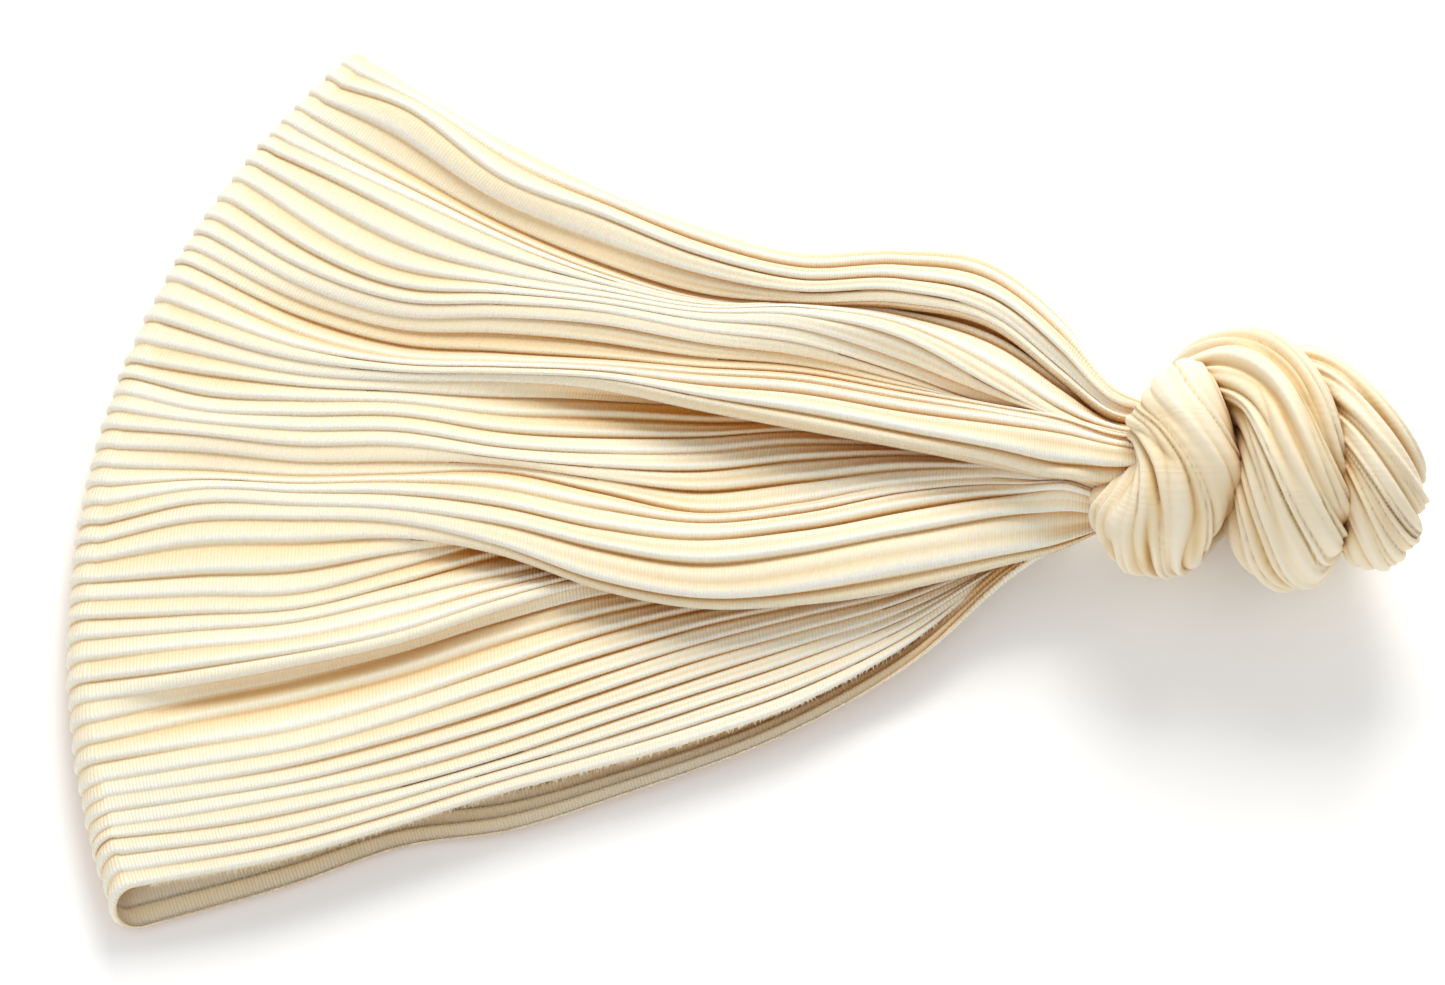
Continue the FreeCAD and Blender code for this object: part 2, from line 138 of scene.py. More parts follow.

# %% [markdown]
# ## Guide lines for the front layer
# The front's big folds are the object's character, so each follows a line that was traced: a guide is one
# line of the cloth from the fold to the neck, as pairs of y and height at the same places along x. The
# heights were chosen as well. The y values of this table weren't typed by hand: a separate script turned
# the traced points into millimetres at those places. A guide that runs behind and below its neighbour
# makes the cloth tuck under it.

# %% Guides: (v, [(y, z), ...]) at the last of the places in GUIDE_X, in mm
GUIDE_X = [-98.6, -80.4, -62.3, -44.1, -26.0, -7.8, 10.3, 28.5, 46.6, 57.5, 66.6, 72.1]
GUIDES = [
    # upper edge
    (0, [(66.6, 9), (56.8, 9), (48.8, 10), (43.5, 11), (43.1, 13), (38.5, 16), (27.3, 19), (12.8, 22),
      (8.9, 24)]),
    # crest of the first group
    (0.042, [(71.8, 11.5), (57.7, 12.5), (50.1, 13), (41.7, 14), (36, 16), (35.1, 19), (29, 22),
      (18.6, 24), (8.6, 25), (6.5, 25)]),
    # first crease
    (0.087, [(60.9, 9), (50, 9), (41.3, 9.5), (35.1, 10.5), (31.9, 14.5), (30.3, 18.5), (24.4, 20.5),
      (14.2, 22), (5.9, 24), (4.1, 25)]),
    # below the first crease
    (0.125, [(53.8, 11.5), (44.8, 12), (38, 12), (33.3, 12), (32.3, 12.5), (30.6, 14.5), (24.1, 17.5),
      (14.7, 19), (6.8, 19), (4, 23)]),
    # second group's upper edge
    (0.165, [(43.8, 12), (39.2, 12), (35.4, 12.5), (31.3, 14), (29.9, 17), (25, 20), (14.4, 22),
      (6.7, 24), (2.4, 26), (1, 27)]),
    # second group's middle
    (0.225, [(41.1, 11.5), (33.9, 12), (32.9, 12.5), (31.1, 13), (27, 14.5), (24, 16), (18.3, 16.5),
      (10.3, 19), (5.7, 23), (1.6, 26), (0.2, 27)]),
    # second crease
    (0.3, [(29.4, 9), (24.5, 9), (23.5, 9.5), (22.1, 10.5), (19.4, 12.5), (17.4, 14), (12.7, 17),
      (7.9, 21), (4.3, 24.5), (0.4, 27), (-0.6, 27.5)]),
    # third group's crest
    (0.335, [(23.9, 12), (20.9, 12), (20, 12.5), (18.2, 14.5), (14.4, 17), (11.3, 19.5), (7.1, 22),
      (3.4, 25), (0.4, 28), (-2.4, 29.5), (-3.2, 29.5)]),
    # third group's lower edge
    (0.365, [(21, 11.5), (18.8, 11.5), (18.4, 11.5), (16.4, 13.5), (11.5, 16), (6.6, 18.5), (1.8, 21),
      (-2.9, 23), (-6.8, 25), (-8, 26), (-7.6, 27)]),
    # under the third group
    (0.39, [(18, 11), (16.9, 10.5), (16.1, 9.5), (16.1, 8.5), (14.9, 9), (12.4, 9.5), (9, 10),
      (4.3, 12), (-0.4, 23.5), (-4, 24.5), (-5.2, 25)]),
    # pocket's upper side
    (0.425, [(14.5, 11), (13.3, 11), (13.3, 10.5), (11, 10), (10.4, 9), (10, 8.5), (10.4, 8.5),
      (7.9, 9), (2.9, 12), (-1.6, 24), (-5, 24.5), (-6.2, 25)]),
    # pocket's floor
    (0.472, [(8.4, 11), (6.7, 11), (6.5, 11), (3.5, 11.5), (2, 11), (1.6, 10.5), (3.5, 10.5),
      (3.7, 12), (-0, 17), (-3.6, 24), (-6.8, 24.5), (-7.4, 25)]),
    # third crease
    (0.52, [(1.4, 9.5), (0.2, 9.5), (0.6, 9.5), (0.8, 10), (-3.3, 10.5), (-7, 11), (-5.9, 13),
      (-3.8, 16), (-3.6, 18.5), (-6.6, 23), (-8.8, 24), (-8.8, 25)]),
    # fourth group's upper side
    (0.553, [(-2.3, 11), (-2.9, 11.5), (-2.9, 12), (-4.7, 13), (-8.8, 14), (-12, 15), (-10.6, 16),
      (-7.1, 16), (-5.9, 17), (-7.9, 22), (-9.9, 23), (-9.3, 24)]),
    # fourth group's crest
    (0.585, [(-6.1, 11), (-6.5, 11.5), (-7.4, 12.5), (-10.8, 14), (-16.3, 16), (-19.6, 17.5),
      (-18.3, 18), (-14.8, 18), (-11.4, 18), (-10.7, 18.5), (-10.5, 20), (-9.5, 22)]),
    # rolled edge
    (0.615, [(-12.1, 11), (-11.1, 11), (-11.5, 11.5), (-15.9, 13), (-23.3, 14.5), (-27.1, 15),
      (-26.5, 15), (-23.7, 14.5), (-18.6, 14), (-15.7, 14.5), (-11.8, 16), (-9.7, 20)]),
    # under the rolled edge
    (0.645, [(-20.5, 11), (-20.1, 11), (-15.6, 10), (-11.3, 8.5), (-10.3, 7.5), (-10.9, 8), (-10.7, 8),
      (-9.3, 8), (-7, 9), (-7.4, 12), (-7.9, 15), (-7.3, 18)]),
    # fifth group's hidden start
    (0.71, [(-31.1, 11), (-29.5, 11), (-25.2, 10.5), (-19.7, 9.5), (-15.4, 8.5), (-14, 8), (-13.3, 8),
      (-11.3, 8), (-8.4, 9), (-8.2, 12), (-8.3, 15), (-7.7, 18)]),
    # ridge over the fourth crease
    (0.765, [(-40.7, 12), (-37.4, 12.5), (-33.1, 12.5), (-26.6, 12), (-20.9, 10.5), (-18.6, 9),
      (-17.2, 8.5), (-15, 8.5), (-11.1, 9), (-9.8, 12), (-8.8, 15), (-8.1, 18)]),
    # fourth crease
    (0.787, [(-42, 9), (-38.3, 9), (-33.8, 9), (-27.6, 9), (-22.7, 9), (-20.3, 8.5), (-18.7, 8),
      (-16.2, 8), (-12.1, 9), (-10.4, 12), (-9, 15), (-8.3, 18)]),
    # fifth group's upper side
    (0.84, [(-53.4, 11), (-50.3, 11), (-45.4, 11), (-39.3, 10.5), (-33.1, 10), (-27.6, 9.5),
      (-23.6, 9), (-19.7, 8.5), (-14.1, 9), (-11.4, 12), (-9, 14), (-8.1, 17)]),
    # fifth group's lower side
    (0.91, [(-65, 11), (-61.5, 11), (-56.8, 11), (-50.9, 10.5), (-44.2, 10), (-37.7, 9.5), (-31.7, 9),
      (-25.6, 9), (-16.8, 9.5), (-12.9, 12), (-9.8, 14), (-8.5, 17)]),
    # front's raw edge
    (1, [(-73.6, 10.5), (-67.7, 10), (-61.4, 9.5), (-56.1, 9), (-50.5, 9), (-43.6, 9), (-33, 9),
      (-18.6, 9.5), (-14.5, 12), (-10.8, 14), (-8.9, 17)]),
]
NECK_END = GUIDE_X[-1]
print(len(GUIDES), "guide lines")

# %% [markdown]
# ## Pleats
# The pleats are heat-set and lie like shingles: each rises slowly to a bright crest and then drops
# sharply. A few columns of points across each pleat, closer together at the drop, are enough.

# %% Pleats
PLEATS = 48
PHASES = np.array([0.0, 0.13, 0.28, 0.44, 0.59, 0.72, 0.83, 0.93])
CREST_AT = 0.72
PLEAT_DEPTH = 0.86
SHINGLE_LEAN = 0.35  # mm that a crest hangs towards the lower edge
FULL_PITCH = 3.6  # mm across the band where a pleat has its full height
V_COLUMNS = np.append((np.arange(PLEATS)[:, None] + PHASES).ravel(), PLEATS) / PLEATS
PHASE_COLUMNS = np.append(np.tile(PHASES, PLEATS), 0.0)
SECTION = np.where(PHASE_COLUMNS < CREST_AT, np.sin(np.pi / 2 * np.minimum(PHASE_COLUMNS / CREST_AT, 1)),
                   1 - ramp(PHASE_COLUMNS, CREST_AT, 1.0))
# Painted shade across a pleat: none on the crest, most in the valley at the drop and on the flank below
# it.
PLEAT_SHADE = 0.68 * np.interp(PHASE_COLUMNS, [0, 0.13, 0.44, 0.59, CREST_AT, 0.83, 0.93, 1],
                       [0.82, 0.76, 0.55, 0.38, 0.0, 0.20, 0.70, 0.82])
SUB_RIDGES = np.abs(np.sin(math.tau * PHASE_COLUMNS))  # two small ridges in one wide pleat
SEED = 11


def wander(t):
    """The cloth's v at each column: pleats wander and crowd a little along their way."""
    t, v = t[:, None], V_COLUMNS[None, :]
    shift = 0.20 * wobble(v * 8, t * 1.8, SEED) + 0.05 * wobble(v * 24, t * 4, SEED + 1)
    return v + shift * np.minimum(1, np.minimum(v, 1 - v) * 16) / PLEATS


def pleat_heights(t):
    """Each pleat's own height, with stretches where it nearly dies out."""
    t, v = t[:, None], V_COLUMNS[None, :]
    pleat = np.floor(v * PLEATS - 1e-6)
    uneven = 1 + 0.15 * wobble(v * 5, t * 3, SEED + 3) + 0.28 * wobble(pleat * 1.7, t * 2.2, SEED + 2)
    return np.clip(uneven, 0.55, 1.4)


def pleated(base, t, side, worn):
    """Puts the pleats on a base surface. Returns points and the painted shade at each: darker and more
    amber in the pleats' valleys and where the cloth lies low.

    side is 1 for cloth whose crests face up, and -1 for cloth whose crests face down.
    """
    along, across = np.gradient(base, axis=0), np.gradient(base, axis=1)
    normal = np.cross(across, along)
    normal /= np.linalg.norm(normal, axis=-1, keepdims=True) + 1e-9
    normal *= math.copysign(1, normal[..., 2].mean())
    across /= np.linalg.norm(across, axis=-1, keepdims=True) + 1e-9
    pitch = np.linalg.norm(np.diff(base, axis=1), axis=-1)
    pitch = np.pad(pitch, ((0, 0), (0, 1)), "edge")
    local = np.array([np.convolve(row, np.ones(len(PHASES)), "same") for row in pitch])
    crowd = np.clip(local / FULL_PITCH, 0.55, 1.1)
    height = pleat_heights(t) * crowd * worn[:, None]
    split = 0.9 * ramp(local, 1.8, 3.1) * ramp(t, 0.25, 0.6)[:, None]
    shape = SECTION[None, :] - 0.5 + split * (SUB_RIDGES[None, :] - 0.6)
    points = base + normal * (side * PLEAT_DEPTH * height * shape)[..., None]
    points += across * (SHINGLE_LEAN * height * shape)[..., None]
    # Painted shade where the cloth lies lower than the cloth four pleats to each side.
    z = side * base[..., 2]
    reach = len(PHASES) * 4  # four pleats to each side
    window = np.ones(2 * reach + 1) / (2 * reach + 1)
    wide = np.pad(z, ((0, 0), (reach, reach)), "edge")
    around = np.array([np.convolve(row, window, "valid") for row in wide])
    sunk = np.clip((around - z) / 6.0, 0, 1)
    # The painted shade: each pleat's own, scaled with its height, plus the shade where the cloth lies low.
    pleat_shade = PLEAT_SHADE + split * (0.5 * (1 - SUB_RIDGES) - 0.5 * PLEAT_SHADE)
    return points, np.clip(pleat_shade * np.clip(0.35 + 0.65 * height, 0.5, 1.2) + 0.6 * sunk, 0, 1)


# %% [markdown]
# ## The front layer
# Each row lies at the same share of the way from the fold to the neck on every guide. A smooth
# curve goes through the guides' points of the row, and the pleats are put on that.


# %% Front layer
def guide_lines():
    """For each guide, a function of x that gives y and z."""
    for v, places in GUIDES:
        start = fan(np.array(v))
        xs = GUIDE_X[-len(places):]
        yield v, start[0], [(start[0], start[1], FOLD_MIDDLE + FOLD_BEND),
                            *[(x, y, z) for x, (y, z) in zip(xs, places)]]


BINDING_AT = (58.4, -7.3)  # x and y where the thread round the neck comes nearest the surface
BINDING_LIFT = 1.9  # mm that the cloth bulges over it


def front_surface(t):
    """The front layer's pleated points and painted shade at stations t, 0 at the fold and 1 at the knot.
    """
    v_at = wander(t)
    rows = []
    for v, x_fold, line in guide_lines():
        x = x_fold + t * (NECK_END - x_fold)
        rows.append(np.concatenate([x[:, None], through(line, x)], axis=1))
    rows = np.array(rows)
    guides_v = [v for v, _ in GUIDES]
    base = np.array([through([(v, *rows[k, i]) for k, v in enumerate(guides_v)], v_at[i])
                     for i in range(len(t))])
    gather = ramp(t, 0.70, 0.95)[:, None]
    base[..., 2] += 0.9 * gather * np.sin(math.tau * (15 * v_at + 0.3 * wobble(v_at * 3, 0, SEED + 6)))
    over_thread = bump(base[..., 0], BINDING_AT[0], 5) * bump(base[..., 1], BINDING_AT[1], 2.6)
    base[..., 2] += BINDING_LIFT * over_thread
    return pleated(base, t, 1, 1 - 0.1 * ramp(t, 0.55, 0.95))


def fold_surface(turn):
    """The cloth that turns over at the nape, for angles from 0 at the front to pi at the back."""
    turn = turn[:, None]
    v_at = wander(np.zeros(len(turn)))
    row = fan(v_at, turn)
    outward = (row - FAN_CENTRE) / ROW_RADIUS
    height = pleat_heights(np.zeros(len(turn)))
    shape = SECTION[None, :] - 0.5
    radius = FOLD_BEND + PLEAT_DEPTH * height * shape
    lean = SHINGLE_LEAN * height * shape
    plan = row + outward * (radius * np.sin(turn))[..., None]
    tangent = np.stack([-outward[..., 1], outward[..., 0]], -1)
    plan += tangent * lean[..., None]
    z = FOLD_MIDDLE + radius * np.cos(turn)
    return np.concatenate([plan, z[..., None]], -1), PLEAT_SHADE + 0 * turn


# %% [markdown]
# ## The back layer
# The back mostly lies flat on the table, with a few tucks where it narrows. A tuck is described by
# how steeply the cloth leans there: adding the steps of a leaning line gives both the height and the
# place across the band.

# %% Back layer
UPPER_EDGE = [
    (0.0, *fan(np.array(0.0))),
    (0.14, -50.5, 65.5),
    (0.27, -33.0, 54.5),
    (0.42, -11.0, 44.0),
    (0.54, 8.0, 39.3),
    (0.66, 26.0, 38.4),
    (0.76, 41.0, 35.0),
    (0.85, 51.5, 25.5),
    (0.93, 59.5, 14.5),
    (1.0, 71.0, 5.0),
]
LOWER_EDGE = [
    (0.0, *fan(np.array(1.0), math.pi)),
    (0.14, -80.0, -75.5),
    (0.24, -61.0, -68.5),
    (0.34, -42.0, -65.5),
    (0.45, -21.0, -58.5),
    (0.6, 8.0, -47.5),
    (0.74, 31.0, -34.5),
    (0.86, 48.0, -20.0),
    (0.94, 58.0, -15.0),
    (1.0, 71.0, -10.0),
]
# Each tuck: its place across at the fold and at the neck, its width, its lean in degrees, the
# stations at which it starts and is fully there, and the share of it that is left at the neck.
TUCKS = [
    (0.03, 0.03, 0.035, -36, 0.30, 0.80, 1.3),
    (0.21, 0.24, 0.040, 45, 0.35, 0.80, 1.2),
    (0.30, 0.33, 0.030, -70, 0.40, 0.85, 1.1),
    (0.47, 0.46, 0.045, 48, 0.35, 0.80, 1.2),
    (0.60, 0.57, 0.035, -62, 0.40, 0.85, 1.1),
    (0.76, 0.72, 0.045, 44, 0.35, 0.80, 1.2),
    (0.86, 0.84, 0.030, -40, 0.30, 0.75, 1.1),
    (0.955, 0.96, 0.022, 38, 0.22, 0.60, 1.2),
]
GATHERS, GATHER_LEAN = 9, 62.0
BACK_HEIGHT = [(0.0, FOLD_MIDDLE - FOLD_BEND), (0.3, 1.8), (0.5, 2.6), (0.65, 4.8), (0.8, 8.5),
               (0.92, 14.0), (1.0, 17.0)]


def lean_of(t, v):
    """How steeply the back leans across the band, in radians."""
    lean = np.zeros(v.shape)
    for at_fold, at_neck, width, degrees, start, full, left in TUCKS:
        middle = at_fold + (at_neck - at_fold) * t + 0.006 * wobble(t * 2.2, 0, SEED + int(at_fold * 1000))
        strength = ramp(t, start, full) * (1 + (left - 1) * ramp(t, 0.78, 0.98))
        lean = lean + math.radians(degrees) * strength * bump(v, middle, width)
    gathers = math.radians(GATHER_LEAN) * ramp(t, 0.72, 0.96)
    return lean + gathers * np.sin(math.tau * (GATHERS * v + 0.12 * wobble(v * 4, t * 2, SEED + 5)))


def add_up(values, v):
    """The running sum of values across the band."""
    steps = (values[:, 1:] + values[:, :-1]) / 2 * np.diff(v, axis=1)
    return np.concatenate([np.zeros((len(values), 1)), np.cumsum(steps, axis=1)], axis=1)


def back_surface(t):
    """The back layer's pleated points and painted shade at stations t, 0 at the fold and 1 at the knot."""
    v, column = wander(t), t[:, None]
    lean = lean_of(column, v)
    across, up = add_up(np.cos(lean), v), add_up(np.sin(lean), v)
    share = across / across[:, -1:]
    upper, lower = through(UPPER_EDGE, t)[:, None], through(LOWER_EDGE, t)[:, None]
    chord = lower - upper
    ends = [fan(np.array(v_end), math.pi) for v_end in (0.0, 1.0)]
    sag = fan(share, math.pi) - (ends[0] + (ends[1] - ends[0]) * share[..., None])
    plan = upper + chord * share[..., None] + sag * ((1 - column) ** 1.5)[..., None]
    real_width = np.linalg.norm(chord, axis=-1) / across[:, -1:]
    z = through(BACK_HEIGHT, t) + 0.55 * real_width * (up - up[:, -1:] * v)
    return pleated(np.concatenate([plan, z[..., None]], -1), t, -1, 1 + 0.9 * ramp(t, 0.25, 0.8))


# %% [markdown]
# ## From rows of points to a mesh
# create_grid makes the faces, and each vertex then moves to its place. The grid also gets a UV map in
# millimetres of real cloth, for the weave, and an attribute that holds the painted shade at each point.


# %% Grid to mesh
def cloth_mesh(name, points, painted_shade, along_mm, across_mm):
    """A mesh from rows and columns of points, with its UV map in mm of cloth."""
    rows, columns = painted_shade.shape
    mesh = bpy.data.meshes.new(name)
    bm = bmesh.new()
    uv_layer = bm.loops.layers.uv.new("cloth_mm")
    painted_shade_layer = bm.verts.layers.float.new("painted_shade")
    bmesh.ops.create_grid(bm, x_segments=columns - 1, y_segments=rows - 1, size=0.5)
    place = {}
    for vert in bm.verts:
        column = round((vert.co.x + 0.5) * (columns - 1))
        row = round((vert.co.y + 0.5) * (rows - 1))
        place[vert] = (row, column)
    for vert, (row, column) in place.items():
        vert.co = points[row, column] * MM
        vert[painted_shade_layer] = painted_shade[row, column]
    for face in bm.faces:
        face.smooth = True
        for loop in face.loops:
            row, column = place[loop.vert]
            loop[uv_layer].uv = (across_mm[column], along_mm[row])
    for edge in bm.edges:
        edge.smooth = not edge.is_boundary
    bm.to_mesh(mesh)
    bm.free()
    piece = bpy.data.objects.new(name, mesh)
    bpy.context.scene.collection.objects.link(piece)
    return piece


def running_length(points):
    """How far along the cloth each row lies, in mm, down the middle column."""
    middle = points[:, points.shape[1] // 2]
    return np.concatenate([[0], np.cumsum(np.linalg.norm(np.diff(middle, axis=0), axis=1))])


PLEAT_CLOTH = 4.7  # mm of flat cloth in one pleat, a guess that fits the drawn pleats
CLOTH_ACROSS = V_COLUMNS * PLEATS * PLEAT_CLOTH
FRONT_SPLIT, BACK_SPLIT, BACK_NECK_SPLIT = 0.30, 0.34, 0.87

# %% [markdown]
# ## The four stretches of the band
# The band is one cloth, but a piece can bend over only one joint, so it is divided where the cloth
# follows one body: the nape with both layers' wide ends, the front, the back, and the back's neck.

# %% Build the band
def both(*surfaces):
    """Joins surfaces end to end."""
    return [np.concatenate(kind) for kind in zip(*surfaces)]


def band_piece(name, points, painted_shade):
    """A stretch of the band as a mesh."""
    return cloth_mesh(name, points, painted_shade, running_length(points), CLOTH_ACROSS)


band_nape = band_piece("band_nape", *both(
    front_surface(np.linspace(FRONT_SPLIT, 0, 44)),
    fold_surface(np.linspace(0, math.pi, 15)[1:-1]),
    back_surface(np.linspace(0, BACK_SPLIT, 36))))
band_front = band_piece("band_front", *front_surface(np.linspace(FRONT_SPLIT, 1, 112)))
band_back = band_piece("band_back", *back_surface(np.linspace(BACK_SPLIT, BACK_NECK_SPLIT, 74)))
band_back_neck = band_piece("band_back_neck", *back_surface(np.linspace(BACK_NECK_SPLIT, 1, 24)))
for piece in (band_nape, band_front, band_back, band_back_neck):
    print(piece.name, len(piece.data.polygons), "faces")

# %% [markdown]
# ## Frayed edges
# The strip's long edges are cut and not hemmed, so short filaments stick out of them. Each is a thin
# three-sided spike. They are pieces of their own, because a fringe isn't part of the cloth's area.


# %% Filaments
TRIANGLE = ((1, 0), (-0.5, 0.87), (-0.5, -0.87))  # a filament's cross section
FILAMENT_RADIUS = 0.09  # mm, several filaments stuck together


def frayed_edge(name, surface, column, outward, count, seed):
    """A fringe of filaments along one column of a layer, for stations 0.02 to 0.9."""
    draw = np.random.default_rng(seed)
    edge = surface(np.linspace(0.02, 0.9, 160))[0][:, column]
    bm = bmesh.new()
    for _ in range(count):
        where = draw.uniform(0, len(edge) - 1.001)
        i = int(where)
        way = Vector(outward) + Vector(draw.normal(0, 0.45, 3))
        way.z = abs(way.z) * 0.6
        way.normalize()
        long = draw.uniform(0.5, 1.5)
        root = Vector(edge[i] + (edge[i + 1] - edge[i]) * (where - i)) - way * 0.2 * long
        across = way.orthogonal().normalized() * FILAMENT_RADIUS
        other = way.cross(across)
        foot = [bm.verts.new((root + across * c + other * d) * MM) for c, d in TRIANGLE]
        tip = bm.verts.new((root + way * long) * MM)
        bm.faces.new(foot[::-1])
        for i in range(3):
            bm.faces.new((foot[i], foot[(i + 1) % 3], tip))
    bmesh.ops.recalc_face_normals(bm, faces=bm.faces)
    mesh = bpy.data.meshes.new(name)
    bm.to_mesh(mesh)
    bm.free()
    piece = bpy.data.objects.new(name, mesh)
    bpy.context.scene.collection.objects.link(piece)
    return piece


fray_front = frayed_edge("frayed_front_edge", front_surface, -1, (-0.25, -1.0, 0.1), 900, 3)
fray_upper = frayed_edge("frayed_upper_edge", front_surface, 0, (0.3, 1.0, 0.1), 400, 4)
fray_back = frayed_edge("frayed_back_edge", back_surface, -1, (-0.25, -1.0, 0.2), 900, 5)
for piece in (fray_front, fray_upper, fray_back):
    print(piece.name, len(piece.data.polygons), "faces")

# %% [markdown]
# ## The knot's strands
# Each strand is a tube that winds round the knot's axis. Its route is a short list: the turn round the
# axis from the top towards the viewer, the place along the knot, half the strand's width along the
# knot, how thick it is, and how far the ridges on it have twisted.

# %% The strands
STRAND_FRONT = [
    (-80, 19.0, 5.0, 7.5, -110),
    (-60, 18.0, 6.5, 9.0, -105),
    (-38, 17.0, 8.0, 10.0, -95),
    (-14, 16.2, 9.6, 10.3, -72),
    (4, 17.0, 9.4, 10.4, -48),
    (24, 17.4, 10.0, 10.4, -22),
    (46, 15.6, 11.5, 10.4, 0),
    (68, 13.0, 12.6, 10.7, 12),
    (90, 11.8, 11.2, 10.8, 20),
    (115, 12.5, 9.6, 10.5, 32),
    (180, 21.0, 9.6, 10.8, 80),
    (250, 32.0, 9.6, 11.0, 140),
    (305, 42.0, 8.6, 10.6, 195),
    (340, 48.2, 7.8, 10.2, 235),
    (364, 50.8, 7.7, 10.0, 270),
    (386, 52.0, 7.8, 9.9, 305),
    (418, 52.6, 8.0, 9.8, 350),
    (455, 51.6, 7.4, 9.4, 395),
    (490, 50.0, 6.0, 8.6, 430),
    (530, 49.0, 4.0, 7.0, 460),
]
STRAND_BACK = [
    (-170, 8.0, 5.0, 7.0, -60),
    (-150, 12.0, 8.0, 8.5, -40),
    (-110, 20.0, 9.5, 10.6, -20),
    (-68, 26.5, 12.0, 11.6, 0),
    (-45, 30.5, 11.0, 12.2, 20),
    (-13, 35.0, 9.4, 12.2, 50),
    (15, 36.0, 9.4, 12.1, 80),
    (42, 36.4, 10.0, 12.0, 112),
    (60, 36.3, 10.3, 12.0, 135),
    (85, 35.4, 10.0, 11.9, 165),
    (112, 36.4, 8.6, 11.6, 195),
    (170, 41.0, 8.4, 10.4, 250),
    (225, 45.0, 8.0, 9.4, 300),
    (270, 47.0, 7.0, 8.6, 345),
    (310, 47.5, 5.6, 7.8, 380),
    (340, 47.5, 3.6, 6.4, 400),
]
RIDGES = 26  # fine pleats round a strand
FOLDS = 8  # broad folds that the fine pleats lie on
RIDGE_DEPTH = 0.9  # mm
RING_COLUMNS = RIDGES * 8
SCALLOPS_AT, SCALLOPS_WIDTH = 92, 22  # degrees of turn where the first lobe's rim is scalloped
CREASE_WIDTH = 0.10  # radians round the strand
CREASE_FADE = 30  # degrees of turn over which a crease starts and ends
CAP_ROWS = 9.0  # rows over which an end rounds off
LOW = 3.0  # mm above the table where the strands begin to flatten
FLOOR_CLEARANCE = 0.35  # mm
TIP_SWING = 1.7  # mm towards the viewer


def strand_surface(route, rows, ridge_depth, creases, scallops, seed):
    """Rows of points round a strand, and the painted shade at each, in the valleys of its ridges and folds
    and in its creases.
    """
    turn = np.linspace(route[0][0], route[-1][0], rows)
    x, half_width, reach, twist = np.moveaxis(through(route, turn), -1, 0)[..., None]
    ring = np.linspace(0, math.tau, RING_COLUMNS + 1)[None, :]
    end = np.minimum(np.arange(rows), np.arange(rows)[::-1])[:, None] / CAP_ROWS
    cap = np.sqrt(np.clip(1 - (1 - np.minimum(end, 1)) ** 2, 0, 1))
    turned = ring - np.radians(twist)
    east, north = np.cos(turned), np.sin(turned)
    way = np.radians(turn)[:, None] / math.tau
    sway = 0.30 * wobble(east * 1.4 + way * 2.2, north * 1.4, seed)
    ridge = np.sin(math.pi * ((turned / math.tau * RIDGES + 1.6 * sway) % 1.0)) ** 0.8
    broad = np.sin(math.pi * ((turned / math.tau * FOLDS + 1.5 * sway) % 1.0)) ** 0.7
    fine = np.clip(0.5 + 0.7 * wobble(east * 1.8 + way * 1.5, north * 1.8, seed + 1), 0.12, 1.0)
    fine = fine + scallops * bump(turn[:, None], SCALLOPS_AT, SCALLOPS_WIDTH)
    out = ridge_depth * (fine * (ridge - 0.6) + 1.1 * (broad - 0.7))
    deep = np.zeros_like(out)
    for at_degrees, start, stop, depth in creases:
        gap = (turned - math.radians(at_degrees) + math.pi) % math.tau - math.pi
        there = ramp(turn[:, None], start, start + CREASE_FADE)
        there = there * (1 - ramp(turn[:, None], stop - CREASE_FADE, stop))
        cut = bump(gap, 0, CREASE_WIDTH) * there
        out = out - depth * cut
        deep = deep + cut
    swell = 0.45 * wobble(east + way * 3, north, seed + 2)
    half = (half_width + out + swell) * cap
    thick = (reach + out + swell) * cap
    radius = reach - 0.2
    distance = radius + thick * np.cos(ring)
    angle = np.radians(turn)[:, None]
    points = np.stack([
        KNOT_START + x + half * np.sin(ring),
        KNOT_AXIS[1] - distance * np.sin(angle),
        KNOT_AXIS[2] + distance * np.cos(angle),
    ], -1)
    points[..., 1] -= TIP_SWING * ramp(points[..., 0] - KNOT_START, 36, 54)
    room = LOW - FLOOR_CLEARANCE
    settled = FLOOR_CLEARANCE + room * np.exp((points[..., 2] - LOW) / room)
    points[..., 2] = np.where(points[..., 2] < LOW, settled, points[..., 2])
    # Painted shade in the valleys of the ridges and broad folds and in the creases.
    painted_shade = np.clip(0.42 * fine * (1 - ridge) + 0.4 * (1 - broad) + 0.35 * deep, 0, 1)
    return points, painted_shade


def tube_piece(name, points, painted_shade, across_mm):
    """A closed tube: the grid's two long edges are merged, and each end drawn to a point."""
    piece = cloth_mesh(name, points, painted_shade, running_length(points), across_mm)
    bm = bmesh.new()
    bm.from_mesh(piece.data)
    bmesh.ops.remove_doubles(bm, verts=bm.verts, dist=0.02 * MM)
    bmesh.ops.recalc_face_normals(bm, faces=bm.faces)
    bm.to_mesh(piece.data)
    bm.free()
    return piece


RING_ACROSS = np.linspace(0, 1, RING_COLUMNS + 1) * RIDGES * FULL_PITCH
